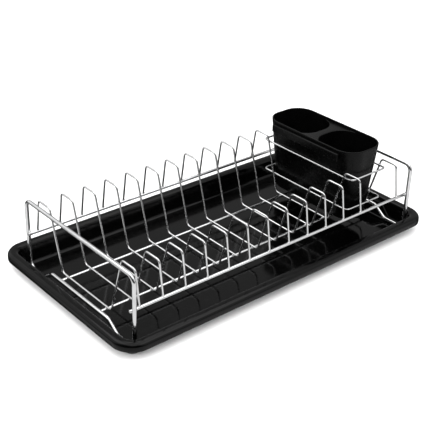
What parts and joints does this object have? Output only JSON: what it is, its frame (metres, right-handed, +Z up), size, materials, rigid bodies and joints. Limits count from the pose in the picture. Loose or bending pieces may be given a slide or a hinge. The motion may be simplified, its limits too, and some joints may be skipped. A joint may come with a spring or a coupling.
{
  "type": "dish drying rack",
  "caption": "Low chrome wire dish rack with upright plate dividers and a caged, two-compartment cutlery holder, standing loose in a rimmed black drip tray.",
  "frame": {"origin": "centre of the tray's underside, at bench height", "axes": "+X along the length towards the cutlery holder, +Y from front to back, +Z up"},
  "size_m": [0.467, 0.254, 0.1174],
  "materials": {
    "tray_plastic": "glossy moulded black",
    "chrome_wire": "bright chrome plating over drawn steel wire",
    "holder_plastic": "satin moulded black"
  },
  "bodies": {
    "tray": {"drip_tray": "tray_plastic"},
    "rack": {"left_end_frame": "chrome_wire", "right_end_frame": "chrome_wire", "front_side_rail": "chrome_wire", "back_side_rail": "chrome_wire", "front_base_rail": "chrome_wire", "back_base_rail": "chrome_wire", "divider_01": "chrome_wire", "divider_02": "chrome_wire", "divider_03": "chrome_wire", "divider_04": "chrome_wire", "divider_05": "chrome_wire", "divider_06": "chrome_wire", "divider_07": "chrome_wire", "divider_08": "chrome_wire", "divider_09": "chrome_wire", "divider_10": "chrome_wire", "divider_11": "chrome_wire", "divider_12": "chrome_wire", "divider_13": "chrome_wire", "upper_cage_ring": "chrome_wire", "lower_cage_ring": "chrome_wire"},
    "cutlery_holder": {"cutlery_holder": "holder_plastic"}
  },
  "joints": [
    {"name": "rack_lift", "type": "slide", "parent": "tray", "child": "rack", "axis": [0, 0, 1], "range_m": [0, 0.1]},
    {"name": "holder_lift", "type": "slide", "parent": "rack", "child": "cutlery_holder", "axis": [0, 0, 1], "range_m": [0, 0.1]}
  ]
}
